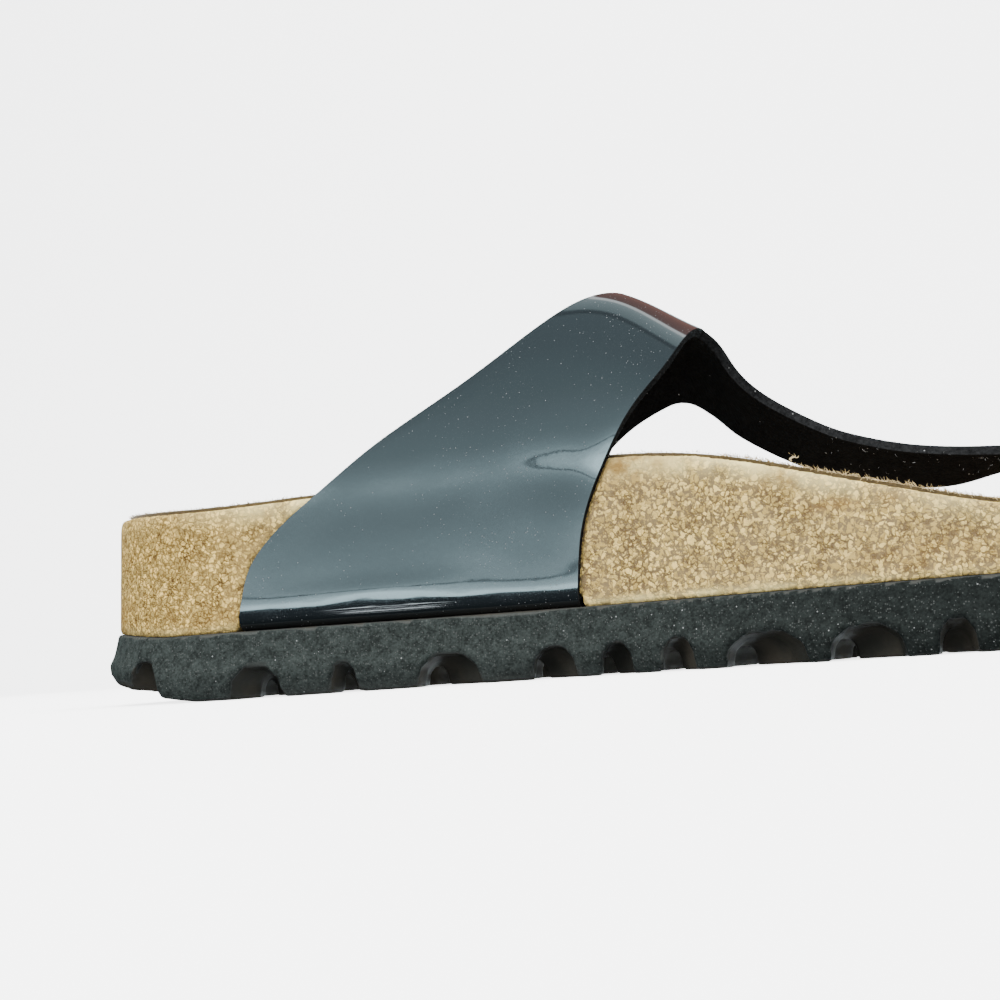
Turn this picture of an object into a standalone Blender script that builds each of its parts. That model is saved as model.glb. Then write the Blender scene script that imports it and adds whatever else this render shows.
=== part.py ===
"""Toe post sandal for the left foot.

A foam outsole with wave lugs carries a moulded cork footbed, its suede insole and one strap.
Stations run along the foot from the heel end of the cork; all sizes are millimetres.
The inner (medial) side of the foot is at -Y, the toe at +X and the floor at z = 0.
"""
from collections import namedtuple
import math

import bmesh
import bpy
import numpy as np

MM = 0.001
GAP = 0.3

# Last: plan of the cork at the sole line, finished rim heights and the height of the bed
LENGTH = 245.0
HEEL_ROUND = 31.0
HEEL_POWER = 2.0
TOE_ROUND = 58.0
TOE_POWER = 2.25
Plan = namedtuple("Plan", "station centre half rim_inner rim_outer bed ridge")
PLAN = (
    Plan(0, 0.0, 31.0, 42.0, 42.0, 29.0, 69.0),
    Plan(30, 0.0, 32.5, 40.8, 40.5, 27.5, 73.0),
    Plan(55, 1.5, 32.5, 41.8, 39.0, 28.0, 76.5),
    Plan(88, 3.5, 32.0, 43.6, 37.0, 29.5, 78.2),
    Plan(120, 3.5, 34.0, 44.6, 35.5, 30.0, 79.8),
    Plan(136, 2.0, 38.0, 42.6, 34.5, 29.5, 70.4),
    Plan(156, 0.0, 42.5, 37.2, 33.0, 27.5, 60.0),
    Plan(175, -2.0, 45.5, 31.8, 30.5, 24.5, 52.0),
    Plan(192, -4.0, 45.5, 27.7, 28.0, 23.0, 45.0),
    Plan(208, -6.5, 44.0, 26.6, 26.8, 23.6, 40.0),
    Plan(225, -9.5, 41.0, 26.6, 26.6, 22.0, 36.0),
    Plan(245, -13.0, 37.0, 27.6, 27.6, 22.5, 33.0),
)

# Sole: top of the foam, its flare and lip, and how far heel and toe lift off the floor
SOLE_TOP = 14.0
HEEL_LIFT = 5.0
HEEL_LIFT_RUN = 30.0
HEEL_LIFT_TOP = 2.0
HEEL_LIFT_TOP_RUN = 22.0
TOE_LIFT_START = 196.0
TOE_LIFT = 5.0
TOE_LIFT_TOP = 3.0
TOE_LIFT_POWER = 1.2
StrapSeat = namedtuple("StrapSeat", "start end fade outset")
STRAP_SEAT = StrapSeat(22.0, 126.0, 15.0, 1.0)
Level = namedtuple("Level", "height outset")
SOLE_SIDE = (
    Level(0.0, 1.3),
    Level(2.6, 2.5),
    Level(5.2, 2.7),
    Level(8.2, 1.5),
    Level(14.0, 0.3),
)

# Tread: wavy grooves across the sole, each with a scallop where it breaks through the side
Groove = namedtuple("Groove", "inner outer scallop")
GROOVES = (
    Groove(15.0, 14.0, 9.0),
    Groove(41.5, 33.0, 12.0),
    Groove(60.0, 52.0, 6.0),
    Groove(82.0, 70.0, 15.0),
    Groove(104.0, 88.0, 10.0),
    Groove(117.0, 106.0, 7.0),
    Groove(129.5, 123.0, 7.0),
    Groove(146.5, 140.0, 18.0),
    Groove(165.5, 158.0, 16.0),
    Groove(182.0, 176.0, 7.5),
    Groove(197.0, 194.0, 9.0),
    Groove(213.0, 212.0, 10.0),
    Groove(229.0, 230.0, 9.0),
)
GROOVE_WIDTH = 5.2
GROOVE_DEPTH = 4.0
SCALLOP_DEPTH = 6.4
OUTER_SCALLOP = 9.0
GROOVE_SHOULDER = (0.82, 0.62)
GROOVE_CROWN = (0.4, 1.0)
GROOVE_WAVE = 4.2
GROOVE_WAVE_LENGTH = 30.0
GROOVE_PHASE_STEP = 0.6
GROOVE_STEP = 7.2
GROOVE_REACH = 64.0
SCALLOP_RUN = 10.0
LONG_GROOVE_OFFSETS = (-15.0, 14.0)
LONG_GROOVE_WAVE_LENGTH = 29.0
LONG_GROOVE_OVERRUN = 15.0
CUTTER_DROP = 2.0

# Cork and lining
CORK_TAPER = 1.2
CORK_EDGE = ((CORK_TAPER, 1.2), (CORK_TAPER + 0.5, 0.36))
RIM_INSET = 3.4
BED_POWER = 2.6
LINING = 1.2

# Strap: wall, the way it wraps the last and the margin that turns in under the cork
STRAP_WALL = 2.0
STRAP_MID_OUTSET = 0.3
RIDGE_Y = -9.0
INNER_ARCH_POWER = 2.2
OUTER_ARCH_POWER = 1.75
RIM_AROUND = 0.6
TURN_RADIUS = 2.2
MARGIN_DEPTH = 9.0
SHEET_COLUMNS = 9
# Around the last: 0 is the ridge, -1 and 1 the start of the turn at the sole on either side,
# -2 and 2 the end of the turn, -3 and 3 the end of the margin
StrapEdge = namedtuple("StrapEdge", "around rear front")
STRAP_EDGES = (
    StrapEdge(-1.0, 38.5, 109.5),
    StrapEdge(-0.8, 42.5, 111.5),
    StrapEdge(-0.6, 57.5, 118.0),
    StrapEdge(-0.4, 88.0, 130.0),
    StrapEdge(-0.2, 110.5, 134.8),
    StrapEdge(0.0, 121.5, 136.4),
    StrapEdge(0.2, 113.0, 131.5),
    StrapEdge(0.33, 103.0, 125.5),
    StrapEdge(0.42, 93.0, 111.0),
    StrapEdge(0.6, 74.0, 100.0),
    StrapEdge(0.8, 62.0, 96.0),
    StrapEdge(1.0, 58.0, 95.0),
)
ROOT_INNER = 0.0
ROOT_OUTER = 0.33
AROUND_STEP = 0.06
ABOVE_RIM = (0.46, 0.53)
TURN_ROWS = (1.25, 1.5, 1.75, 2.0)
MARGIN_END = 3.0
SKIRT_SPREAD = 0.7
SKIRT_DEPTH = 1.0

# Thong: inner and outer edge, section by section, from its root to the toe post
Thong = namedtuple("Thong", "run s_in y_in z_in s_out y_out z_out")
THONG = (
    Thong(1, 139.2, -7.0, 67.4, 131.1, 20.0, 59.8),
    Thong(2, 142.8, -5.0, 61.0, 136.9, 16.0, 55.4),
    Thong(3, 148.7, -4.0, 55.3, 142.0, 12.5, 50.4),
    Thong(4, 158.8, -5.0, 48.8, 153.0, 9.5, 43.5),
    Thong(5, 166.0, -7.0, 45.4, 163.0, 7.0, 39.5),
    Thong(6, 176.0, -9.2, 42.3, 174.0, 4.0, 36.4),
    Thong(7, 186.0, -11.0, 40.6, 185.0, 0.5, 35.0),
    Thong(8, 195.0, -13.2, 39.7, 195.0, -3.6, 36.8),
    Thong(9, 204.0, -12.4, 39.0, 204.0, -6.0, 38.4),
)
THONG_ROWS = 26
CROWN_FADE = 4.0

# Toe post
POST_STATION = 199.0
POST_Y = -8.8
POST_RADIUS = 3.2
POST_SINK = 7.0
POST_SIDES = 20

RING = 64
BED_RINGS = (0.95, 0.86, 0.73, 0.56, 0.36, 0.14)
FLAT_RINGS = (0.62, 0.2)

COLOURS = {
    "outsole": ((0.022, 0.022, 0.024), 0.75),
    "footbed": ((0.46, 0.31, 0.16), 0.85),
    "insole": ((0.36, 0.27, 0.20), 0.95),
    "upper": ((0.012, 0.014, 0.018), 0.12),
    "toe_post": ((0.014, 0.014, 0.016), 0.45),
}


def smooth(rows, column, at):
    """Value of one column of a table at a place along its first column, on a smooth curve."""
    x = np.array([row[0] for row in rows], float)
    y = np.array([getattr(row, column) for row in rows], float)
    slope = np.gradient(y, x)
    at = np.clip(at, x[0], x[-1])
    i = np.clip(np.searchsorted(x, at, side="right") - 1, 0, len(x) - 2)
    width = x[i + 1] - x[i]
    t = (at - x[i]) / width
    rise = t * t * (3 - 2 * t)
    return ((1 - rise) * y[i] + rise * y[i + 1]
            + width * t * (1 - t) * ((1 - t) * slope[i] - t * slope[i + 1]))


def ease(t):
    t = np.clip(t, 0.0, 1.0)
    return t * t * (3 - 2 * t)


def half_width(station):
    """Half width of the cork, rounded off at heel and toe."""
    heel = np.clip(1 - station / HEEL_ROUND, 0, 1)
    toe = np.clip(1 - (LENGTH - station) / TOE_ROUND, 0, 1)
    rounding = ((1 - heel ** HEEL_POWER) ** (1 / HEEL_POWER)
                * (1 - toe ** TOE_POWER) ** (1 / TOE_POWER))
    return smooth(PLAN, "half", station) * rounding


RING_ANGLE = np.arange(RING) * 2 * math.pi / RING
RING_SIDE = np.where(RING_ANGLE < math.pi, -1.0, 1.0)
RING_STATION = LENGTH / 2 * (1 - np.cos(RING_ANGLE))
SPINE_STATION = HEEL_ROUND + (LENGTH - HEEL_ROUND - TOE_ROUND) / 2 * (1 - np.cos(RING_ANGLE))


def ring_plan():
    """Plan of the cork as a ring of points that starts at the heel and runs up the inner side."""
    y = smooth(PLAN, "centre", RING_STATION) + RING_SIDE * half_width(RING_STATION)
    return np.stack([RING_STATION, y], 1)


def offset_ring(ring, distance):
    """The ring moved outwards by a distance, which may differ from point to point."""
    along = np.roll(ring, -1, 0) - np.roll(ring, 1, 0)
    along /= np.linalg.norm(along, axis=1)[:, None]
    outward = np.stack([along[:, 1], -along[:, 0]], 1)
    return ring + outward * np.broadcast_to(distance, len(ring))[:, None]


def shrink_ring(ring, share):
    """The ring drawn in towards the spine of the foot."""
    spine = np.stack([SPINE_STATION, smooth(PLAN, "centre", SPINE_STATION)], 1)
    return spine + (ring - spine) * share


def rim_height():
    """Finished rim height round the ring: inner and outer side differ and meet at heel and toe."""
    inner = smooth(PLAN, "rim_inner", RING_STATION)
    outer = smooth(PLAN, "rim_outer", RING_STATION)
    return np.where(RING_SIDE < 0, inner, outer)


def toe_lift(station, height):
    return height * ease((station - TOE_LIFT_START) / (LENGTH - TOE_LIFT_START)) ** TOE_LIFT_POWER


def floor_lift(station):
    """How far the underside lies above the floor, which it leaves at the heel and at the toe."""
    return HEEL_LIFT * ease(1 - station / HEEL_LIFT_RUN) + toe_lift(station, TOE_LIFT)


def sole_line(station):
    """Height of the join between sole and cork."""
    heel = HEEL_LIFT_TOP * ease(1 - station / HEEL_LIFT_TOP_RUN)
    return SOLE_TOP + heel + toe_lift(station, TOE_LIFT_TOP)


def raise_ring(ring, height):
    return np.column_stack([ring, np.broadcast_to(height, len(ring))])


PLAN_RING = ring_plan()
SOLE_RING = offset_ring(PLAN_RING, max(level.outset for level in SOLE_SIDE))
MIDDLE = (SOLE_RING.min(0) + SOLE_RING.max(0)) / 2


def place(point):
    """A point given by station, y and height, in metres about the middle of the sole."""
    return ((point[0] - MIDDLE[0]) * MM, (point[1] - MIDDLE[1]) * MM, point[2] * MM)


def material(name):
    colour, roughness = COLOURS[name]
    made = bpy.data.materials.new(name)
    made.use_nodes = True
    shader = made.node_tree.nodes["Principled BSDF"]
    shader.inputs["Base Color"].default_value = (*colour, 1.0)
    shader.inputs["Roughness"].default_value = roughness
    return made


def add_object(name, mesh_source, collection):
    """Object from a bmesh, with its faces turned out."""
    bmesh.ops.recalc_face_normals(mesh_source, faces=mesh_source.faces)
    mesh = bpy.data.meshes.new(name)
    mesh_source.to_mesh(mesh)
    mesh_source.free()
    made = bpy.data.objects.new(name, mesh)
    collection.objects.link(made)
    return made


def add_part(name, mesh_source):
    made = add_object(name, mesh_source, PARTS)
    made.data.materials.append(material(name))
    return made


def add_cutter(name, mesh_source):
    made = add_object(name, mesh_source, CUTTERS)
    made.hide_render = True
    made.display_type = "WIRE"
    return made


def cut(part, cutter):
    change = part.modifiers.new("cut " + cutter.name, "BOOLEAN")
    change.operation = "DIFFERENCE"
    change.object = cutter


def stack_rings(rings):
    """Closed body from rings in order; both end rings are closed across the foot.

    Triangles all run the same way, so two bodies that share rings stay parallel.
    """
    made = bmesh.new()
    verts = [[made.verts.new(place(p)) for p in ring] for ring in rings]
    for now, after in zip(verts, verts[1:]):
        for k in range(RING):
            following = (k + 1) % RING
            made.faces.new((now[k], now[following], after[following]))
            made.faces.new((now[k], after[following], after[k]))
    for ring in (verts[0], verts[-1]):
        for k in range(RING // 2):
            inner, inner_following = ring[k], ring[k + 1]
            outer, outer_following = ring[-k % RING], ring[-k - 1]
            if inner is not outer:
                made.faces.new((inner, inner_following, outer))
            if inner_following is not outer_following:
                made.faces.new((inner_following, outer_following, outer))
    return made


def groove_section(across, width, depth):
    """Corners of a groove from its mouth below the sole over its arched floor."""
    half = width / 2
    profile = [(1.0, -CUTTER_DROP)]
    profile += [(share, depth * rise) for share, rise in (GROOVE_SHOULDER, GROOVE_CROWN)]
    right = [(across + half * share, z) for share, z in profile]
    left = [(across - half * share, z) for share, z in reversed(profile)]
    return right + left


def sweep_groove(made, sections):
    """Closed strip through a groove's sections."""
    verts = [[made.verts.new(place(p)) for p in section] for section in sections]
    for now, after in zip(verts, verts[1:]):
        for k in range(len(now)):
            following = (k + 1) % len(now)
            made.faces.new((now[k], now[following], after[following], after[k]))
    made.faces.new(verts[0])
    made.faces.new(verts[-1])


def wave(along, length, number):
    return GROOVE_WAVE * math.sin(2 * math.pi * along / length + number * GROOVE_PHASE_STEP)


def cross_grooves():
    """Wavy grooves across the sole, which widen and deepen to a scallop at either side."""
    made = bmesh.new()
    steps = int(2 * GROOVE_REACH / GROOVE_STEP) + 1
    for number, groove in enumerate(GROOVES):
        middle = (groove.inner + groove.outer) / 2
        centre = smooth(PLAN, "centre", middle)
        half = half_width(middle)
        sections = []
        for y in np.linspace(-GROOVE_REACH, GROOVE_REACH, steps):
            across = np.clip((y - centre) / half, -1, 1)
            at_side = ease((abs(y - centre) - half + SCALLOP_RUN) / SCALLOP_RUN)
            scallop = groove.scallop if across < 0 else OUTER_SCALLOP
            width = GROOVE_WIDTH + (scallop - GROOVE_WIDTH) * at_side
            depth = GROOVE_DEPTH + (SCALLOP_DEPTH - GROOVE_DEPTH) * at_side + floor_lift(middle)
            station = middle + (groove.outer - groove.inner) / 2 * across
            station += wave(y, GROOVE_WAVE_LENGTH, number) * (1 - at_side)
            sections.append([(s, y, z) for s, z in groove_section(station, width, depth)])
        sweep_groove(made, sections)
    return made


def long_grooves():
    """Wavy grooves along the sole that part the waves into lugs."""
    made = bmesh.new()
    start = -LONG_GROOVE_OVERRUN
    end = LENGTH + LONG_GROOVE_OVERRUN
    for number, offset in enumerate(LONG_GROOVE_OFFSETS):
        sections = []
        for station in np.linspace(start, end, int((end - start) / GROOVE_STEP)):
            y = smooth(PLAN, "centre", station) + offset + wave(station, LONG_GROOVE_WAVE_LENGTH, number)
            depth = GROOVE_DEPTH + floor_lift(max(station, 0.0))
            corners = groove_section(y, GROOVE_WIDTH, depth)
            sections.append([(station, across, z) for across, z in corners])
        sweep_groove(made, sections)
    return made


def outsole():
    seat_start = ease((RING_STATION - STRAP_SEAT.start) / STRAP_SEAT.fade)
    seat_end = ease((STRAP_SEAT.end - RING_STATION) / STRAP_SEAT.fade)
    strap_seat = STRAP_SEAT.outset * seat_start * seat_end
    rings = []
    underside = offset_ring(PLAN_RING, SOLE_SIDE[0].outset)
    for share in reversed(FLAT_RINGS):
        ring = shrink_ring(underside, share)
        rings.append(raise_ring(ring, floor_lift(ring[:, 0])))
    for level in SOLE_SIDE:
        up = level.height / SOLE_TOP
        ring = offset_ring(PLAN_RING, level.outset + strap_seat * up)
        lift = (1 - up) * floor_lift(RING_STATION) + up * (sole_line(RING_STATION) - SOLE_TOP)
        rings.append(raise_ring(ring, level.height + lift))
    for share in FLAT_RINGS:
        ring = shrink_ring(PLAN_RING, share)
        rings.append(raise_ring(ring, sole_line(ring[:, 0])))
    part = add_part("outsole", stack_rings(rings))
    cut(part, add_cutter("cross_grooves", cross_grooves()))
    cut(part, add_cutter("long_grooves", long_grooves()))
    return part


def bed_rings(lift):
    """Rings of the top of the bed, from the rim inwards, raised by a lift."""
    rim_ring = offset_ring(PLAN_RING, -RIM_INSET)
    rim = rim_height()
    rings = []
    for share in (1.0,) + BED_RINGS:
        ring = shrink_ring(rim_ring, share)
        bed = smooth(PLAN, "bed", ring[:, 0])
        rings.append(raise_ring(ring, bed + (rim - bed) * share ** BED_POWER + lift))
    return rings


def footbed():
    cork_rim = rim_height() - LINING - GAP
    rings = []
    for share in reversed(FLAT_RINGS):
        ring = shrink_ring(PLAN_RING, share)
        rings.append(raise_ring(ring, sole_line(ring[:, 0]) + GAP))
    rings.append(raise_ring(PLAN_RING, sole_line(RING_STATION) + GAP))
    for inset, drop in CORK_EDGE:
        rings.append(raise_ring(offset_ring(PLAN_RING, -inset), cork_rim - drop))
    rings += bed_rings(-LINING - GAP)
    part = add_part("footbed", stack_rings(rings))
    seat = add_cutter("strap_seat", strap_feet())
    solidify(seat, STRAP_WALL + 2 * GAP)
    cut(part, seat)
    skirt = add_cutter("strap_skirt", strap_skirts())
    solidify(skirt, STRAP_WALL)
    cut(part, skirt)
    return part


def insole():
    top = bed_rings(0.0)
    bottom = bed_rings(-LINING)
    return add_part("insole", stack_rings(top[::-1] + bottom))


def last_point(station, around):
    """Middle of the strap's wall: over the last from the ridge down either side, then in under the cork."""
    side = -1 if around < 0 else 1
    share = abs(around)
    wall_y = smooth(PLAN, "centre", station) + side * (half_width(station) + STRAP_MID_OUTSET)
    rim_y = wall_y - side * CORK_TAPER
    rim = smooth(PLAN, "rim_inner" if side < 0 else "rim_outer", station)
    margin = SOLE_TOP + GAP + STRAP_WALL / 2
    if share <= RIM_AROUND:
        angle = share / RIM_AROUND * math.pi / 2
        power = 2 / (INNER_ARCH_POWER if side < 0 else OUTER_ARCH_POWER)
        ridge = smooth(PLAN, "ridge", station)
        y = RIDGE_Y + (rim_y - RIDGE_Y) * math.sin(angle) ** power
        return (station, y, rim + (ridge - rim) * max(math.cos(angle), 0.0) ** power)
    if share <= 1:
        down = (share - RIM_AROUND) / (1 - RIM_AROUND)
        return (station, rim_y + (wall_y - rim_y) * down, rim + (margin + TURN_RADIUS - rim) * down)
    turn = min(share - 1, 1) * math.pi / 2
    y = wall_y - side * TURN_RADIUS * (1 - math.cos(turn))
    z = margin + TURN_RADIUS * (1 - math.sin(turn))
    return (station, y - side * MARGIN_DEPTH * max(share - 2, 0), z)


def strap_row(around, spread):
    """One line across the strap, from its rear edge to its front edge."""
    at = min(max(around, -1.0), 1.0)
    rear = smooth(STRAP_EDGES, "rear", at) - spread
    front = smooth(STRAP_EDGES, "front", at) + spread
    return [last_point(station, around) for station in np.linspace(rear, front, SHEET_COLUMNS)]


def around_rows(start, end):
    count = max(1, round(abs(end - start) / AROUND_STEP))
    return list(np.linspace(start, end, count + 1)[:-1])


def sheet_from_rows(made, rows):
    verts = [[made.verts.new(place(p)) for p in row] for row in rows]
    for now, after in zip(verts, verts[1:]):
        for k in range(len(now) - 1):
            made.faces.new((now[k], now[k + 1], after[k + 1], after[k]))
    return verts


def solidify(made, wall):
    change = made.modifiers.new("wall", "SOLIDIFY")
    change.thickness = wall * MM
    change.offset = 0.0
    change.use_even_offset = True
    change.use_quality_normals = True


def strap_feet():
    """Feet of both arms, a little larger than the strap, to sink its seats into the cork."""
    wide = 2 * GAP
    places = [*ABOVE_RIM] + around_rows(RIM_AROUND, 1.0) + [1.0, *TURN_ROWS, MARGIN_END + wide / MARGIN_DEPTH]
    made = bmesh.new()
    for side in (-1, 1):
        sheet_from_rows(made, [strap_row(side * around, wide) for around in places])
    return made


def strap_skirts():
    """Upright sheets at the feet of both arms, to clear the thin edge of cork under the strap's turn."""
    heights = (SOLE_TOP + GAP + STRAP_WALL / 2, SOLE_TOP - SKIRT_DEPTH)
    made = bmesh.new()
    for side in (-1, 1):
        foot = strap_row(side, SKIRT_SPREAD)
        sheet_from_rows(made, [[(station, y, height) for station, y, z in foot] for height in heights])
    return made


def thong_edges():
    """Inner and outer edge of the thong, row by row, from the strap's notches to the toe post."""
    inner_notch = last_point(smooth(STRAP_EDGES, "front", ROOT_INNER), ROOT_INNER)
    outer_notch = last_point(smooth(STRAP_EDGES, "front", ROOT_OUTER), ROOT_OUTER)
    table = (Thong(0, *inner_notch, *outer_notch),) + THONG
    runs = np.linspace(0, THONG[-1].run, THONG_ROWS)
    inner = np.stack([smooth(table, name, runs) for name in ("s_in", "y_in", "z_in")], 1)
    outer = np.stack([smooth(table, name, runs) for name in ("s_out", "y_out", "z_out")], 1)
    return inner, outer


def upper():
    """Both arms and the thong as one sheet, given the strap's wall."""
    places = [-MARGIN_END] + [-turn for turn in reversed(TURN_ROWS)] + around_rows(-1.0, ROOT_INNER)
    root_start = len(places)
    root = around_rows(ROOT_INNER, ROOT_OUTER)
    places += root
    root_end = len(places)
    places += around_rows(ROOT_OUTER, 1.0) + [1.0, *TURN_ROWS, MARGIN_END]
    made = bmesh.new()
    verts = sheet_from_rows(made, [strap_row(around, 0.0) for around in places])
    front = [row[-1] for row in verts[root_start:root_end + 1]]
    root_points = np.array([strap_row(around, 0.0)[-1] for around in places[root_start:root_end + 1]])
    share = np.linspace(0, 1, len(front))[:, None]
    inner, outer = thong_edges()
    crown = root_points - (root_points[0] + (root_points[-1] - root_points[0]) * share)
    now = front
    for row in range(1, THONG_ROWS):
        fade = (1 - row / (THONG_ROWS - 1)) ** CROWN_FADE
        line = inner[row] + (outer[row] - inner[row]) * share + crown * fade
        after = [made.verts.new(place(p)) for p in line]
        for k in range(len(front) - 1):
            made.faces.new((now[k], now[k + 1], after[k + 1], after[k]))
        now = after
    part = add_part("upper", made)
    solidify(part, STRAP_WALL)
    return part


def post_body(radius, low, high):
    made = bmesh.new()
    bmesh.ops.create_cone(made, cap_ends=True, segments=POST_SIDES, radius1=radius * MM,
                          radius2=radius * MM, depth=(high - low) * MM)
    middle = place((POST_STATION, POST_Y, (low + high) / 2))
    bmesh.ops.translate(made, verts=made.verts, vec=middle)
    return made


def toe_post(insole_part, footbed_part):
    """Post from the thong's end down through the insole into the cork."""
    inner, outer = thong_edges()
    middle = (inner + outer) / 2
    near = np.abs(middle[:, 0] - POST_STATION).argmin()
    tilt = abs(outer[near, 2] - inner[near, 2]) / np.linalg.norm(outer[near] - inner[near])
    top = middle[near, 2] - STRAP_WALL / 2 - POST_RADIUS * tilt - GAP
    bottom = smooth(PLAN, "bed", POST_STATION) - POST_SINK
    part = add_part("toe_post", post_body(POST_RADIUS, bottom, top))
    hole = add_cutter("post_hole", post_body(POST_RADIUS + GAP, bottom - GAP, top))
    cut(insole_part, hole)
    cut(footbed_part, hole)
    return part


def new_collection(name):
    made = bpy.data.collections.new(name)
    bpy.context.scene.collection.children.link(made)
    return made


for old in list(bpy.data.objects):
    bpy.data.objects.remove(old, do_unlink=True)

PARTS = new_collection("toe_post_sandal")
CUTTERS = new_collection("cutters")

outsole()
cork = footbed()
lining = insole()
upper()
toe_post(lining, cork)
for shaped in PARTS.objects:
    shaped.data.shade_smooth()
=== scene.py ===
"""Finish of a toe post sandal: patent strap, cork footbed, suede insole and foam sole.

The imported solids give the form. Each piece is drawn finer over its solid and gets its own finish.
Sizes are metres, or millimetres where the code works with MM; the toe is at +X, the inner side of the
foot at -Y and the floor at z = 0.
"""

from collections import namedtuple
import math
import random

import bmesh
import bpy
import numpy as np
from bpy.props import FloatProperty, FloatVectorProperty, IntProperty, PointerProperty
from mathutils import Matrix, Vector
from mathutils.bvhtree import BVHTree
from mathutils.noise import noise


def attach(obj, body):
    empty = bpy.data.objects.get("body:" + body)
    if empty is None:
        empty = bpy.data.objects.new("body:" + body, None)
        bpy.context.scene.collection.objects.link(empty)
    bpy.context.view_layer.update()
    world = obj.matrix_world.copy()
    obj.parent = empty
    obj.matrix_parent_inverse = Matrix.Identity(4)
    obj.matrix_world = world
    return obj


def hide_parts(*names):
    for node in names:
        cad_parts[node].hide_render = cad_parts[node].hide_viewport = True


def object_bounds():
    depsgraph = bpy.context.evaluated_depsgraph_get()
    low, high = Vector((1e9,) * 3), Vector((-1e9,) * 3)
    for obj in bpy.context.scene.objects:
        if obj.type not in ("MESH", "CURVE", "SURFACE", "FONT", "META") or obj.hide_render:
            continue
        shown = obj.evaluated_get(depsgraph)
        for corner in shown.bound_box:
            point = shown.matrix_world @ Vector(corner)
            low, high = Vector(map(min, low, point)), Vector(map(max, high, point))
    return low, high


bl_info = {
    "name": "Toe Post Sandal",
    "version": (1, 0, 0),
    "blender": (4, 5, 0),
    "location": "View3D > Sidebar > Sandal",
    "description": "Draws the finished pieces of a toe post sandal over its solids",
    "category": "Object",
}

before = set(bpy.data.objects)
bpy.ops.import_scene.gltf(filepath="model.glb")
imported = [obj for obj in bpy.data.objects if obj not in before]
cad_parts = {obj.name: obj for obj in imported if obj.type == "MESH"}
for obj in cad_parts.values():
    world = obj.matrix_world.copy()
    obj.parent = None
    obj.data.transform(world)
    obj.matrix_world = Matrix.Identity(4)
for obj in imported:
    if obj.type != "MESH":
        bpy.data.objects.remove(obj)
CAD_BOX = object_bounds()
FRAME_MIDDLE = [(low + high) / 2 for low, high in zip(*CAD_BOX)]
MM = 0.001
BODY = "root"


def colour_property(name, description, default):
    return FloatVectorProperty(name=name, description=description, default=default,
                               size=3, min=0.0, max=1.0, subtype="COLOR")


def length_property(name, description, default):
    return FloatProperty(name=name, description=description, default=default,
                         min=0.0, unit="LENGTH", precision=5)


def level_property(name, description, default):
    return IntProperty(name=name, description=description, default=default, min=1, max=3)


def angle_property(name, description, degrees):
    return FloatProperty(name=name, description=description, default=math.radians(degrees),
                         subtype="ANGLE")


class SandalSizes(bpy.types.PropertyGroup):
    """Sizes of the finish, in metres."""

    voxel: length_property("Voxel", "Cell of the fine mesh over cork and sole", 0.9 * MM)
    strap_levels: level_property("Strap levels", "Subdivision of the strap", 3)
    insole_levels: level_property("Insole levels", "Subdivision of the insole", 2)
    granule: length_property("Cork granule", "Usual size of a cork granule", 1.02 * MM)
    fibre: length_property("Suede fibre", "Longest fibre on the cut edge of the suede", 1.5 * MM)
    fibre_count: IntProperty(name="Fibres", description="Fibres on the cut edge of the suede",
                             default=6400, min=0)


class SandalColours(bpy.types.PropertyGroup):
    """Colours of the finish."""

    patent: colour_property("Patent", "Strap under its gloss", (0.009, 0.012, 0.014))
    lining: colour_property("Lining", "Felt inside the strap", (0.0035, 0.0036, 0.004))
    cut_edge: colour_property("Cut edge", "Fibres at the strap's cut edge", (0.011, 0.0115, 0.012))
    dust: colour_property("Dust", "Dust and lint", (0.55, 0.57, 0.57))
    cork_pale: colour_property("Pale cork", "Lightest granules", (0.88, 0.645, 0.215))
    cork_heel: colour_property("Heel cork", "Lightest granules at the heel", (1.0, 0.70, 0.205))
    cork_tan: colour_property("Tan cork", "Usual granules", (0.50, 0.352, 0.108))
    cork_dark: colour_property("Dark cork", "Cracks between granules", (0.07, 0.036, 0.012))
    cork_rim: colour_property("Rim cork", "Smoother cork under the rim", (0.86, 0.71, 0.31))
    binder: colour_property("Binder", "Between the granules", (0.20, 0.145, 0.074))
    binder_heel: colour_property("Heel binder", "Between the granules at the heel", (0.215, 0.13, 0.040))
    stain: colour_property("Stain", "Brown stains under the rim", (0.22, 0.115, 0.025))
    suede: colour_property("Suede", "Napped insole", (0.33, 0.245, 0.15))
    fibre: colour_property("Fibre", "Raw fibres at the suede's edge", (0.90, 0.72, 0.40))
    # Darker colour on the suede's cut edge, also given to its fibres towards the heel.
    dark_edge: colour_property("Dark edge", "Darker cut edge of the suede", (0.13, 0.098, 0.048))
    foam: colour_property("Ground foam", "Side of the sole", (0.0213, 0.0259, 0.0242))
    # Grit is also the colour of the painted highlight along the edge of the ground side.
    grit: colour_property("Grit", "Pale grit in the ground foam", (0.079, 0.0855, 0.0818))
    tread: colour_property("Moulded foam", "Skin of the tread", (0.028, 0.028, 0.024))
    tread_worn: colour_property("Worn foam", "Worn skin of the tread", (0.060, 0.052, 0.040))
    floor: colour_property("Floor", "Plain pale floor", (0.90, 0.90, 0.90))


class StageSettings(bpy.types.PropertyGroup):
    """Place, angle and lens of the camera."""

    azimuth: angle_property("Azimuth", "Turn towards the toe", 12.0)
    distance: length_property("Distance", "Camera to the inner wall of the footbed", 0.3573)
    height: length_property("Height", "Camera above the floor", 0.005)
    pitch: angle_property("Pitch", "Upward tilt of the camera", 5.07)
    roll: angle_property("Roll", "Roll of the camera", -3.93)
    lens: FloatProperty(name="Lens", description="Focal length in millimetres", default=63.7, min=1.0)


def sizes():
    return bpy.context.scene.sandal_sizes


def colours():
    return bpy.context.scene.sandal_colours


# Meshes

WELD = 0.01
JOIN_BEND = 40
JOIN_SKEW = 60
SOFTEN = 0.5


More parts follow.
